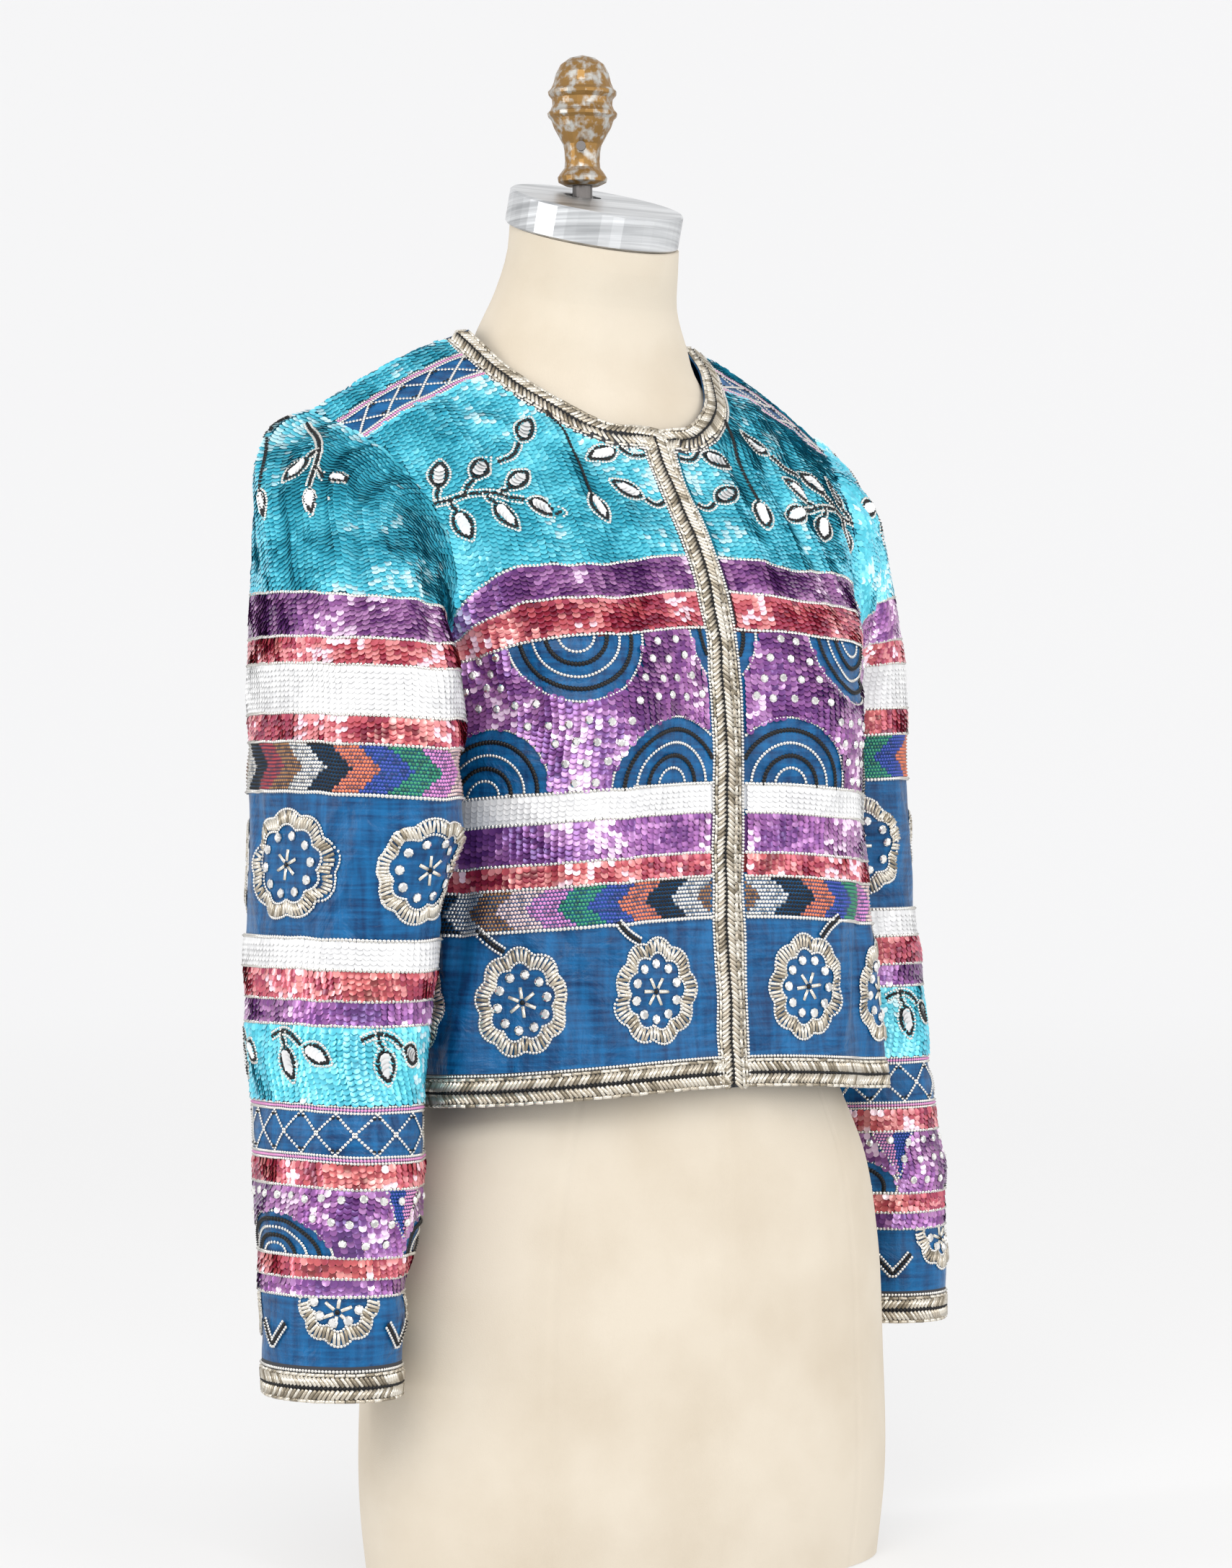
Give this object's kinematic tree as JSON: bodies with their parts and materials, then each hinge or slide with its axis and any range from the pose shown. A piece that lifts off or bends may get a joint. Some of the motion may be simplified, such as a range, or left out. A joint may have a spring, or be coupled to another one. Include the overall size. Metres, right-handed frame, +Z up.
{
  "type": "sequin jacket on a dress form",
  "caption": "Short open-front evening jacket with long gathered sleeves, banded in sequins and beads, worn on a limbless canvas dress form with a metal neck cap and turned finial.",
  "frame": {"origin": "centre of the hip rings on the flat underside of the dress form", "axes": "+Z up; the front of the jacket faces -Y; the wearer's right side is -X"},
  "size_m": [0.5374, 0.2516, 0.934],
  "materials": {
    "sequin_cloth": "silk ground closely sewn with sequins",
    "form_canvas": "plain woven canvas, matt",
    "brushed_metal": "brushed",
    "worn_paint": "gold and silver paint, worn",
    "dull_steel": "dull"
  },
  "bodies": {
    "root": {"front_right": "sequin_cloth", "front_left": "sequin_cloth", "back": "sequin_cloth", "sleeve_right": "sequin_cloth", "sleeve_left": "sequin_cloth", "form_torso": "form_canvas", "neck_cap": "brushed_metal", "finial": "worn_paint", "finial_stem": "dull_steel", "set_screw": "dull_steel"}
  },
  "joints": []
}
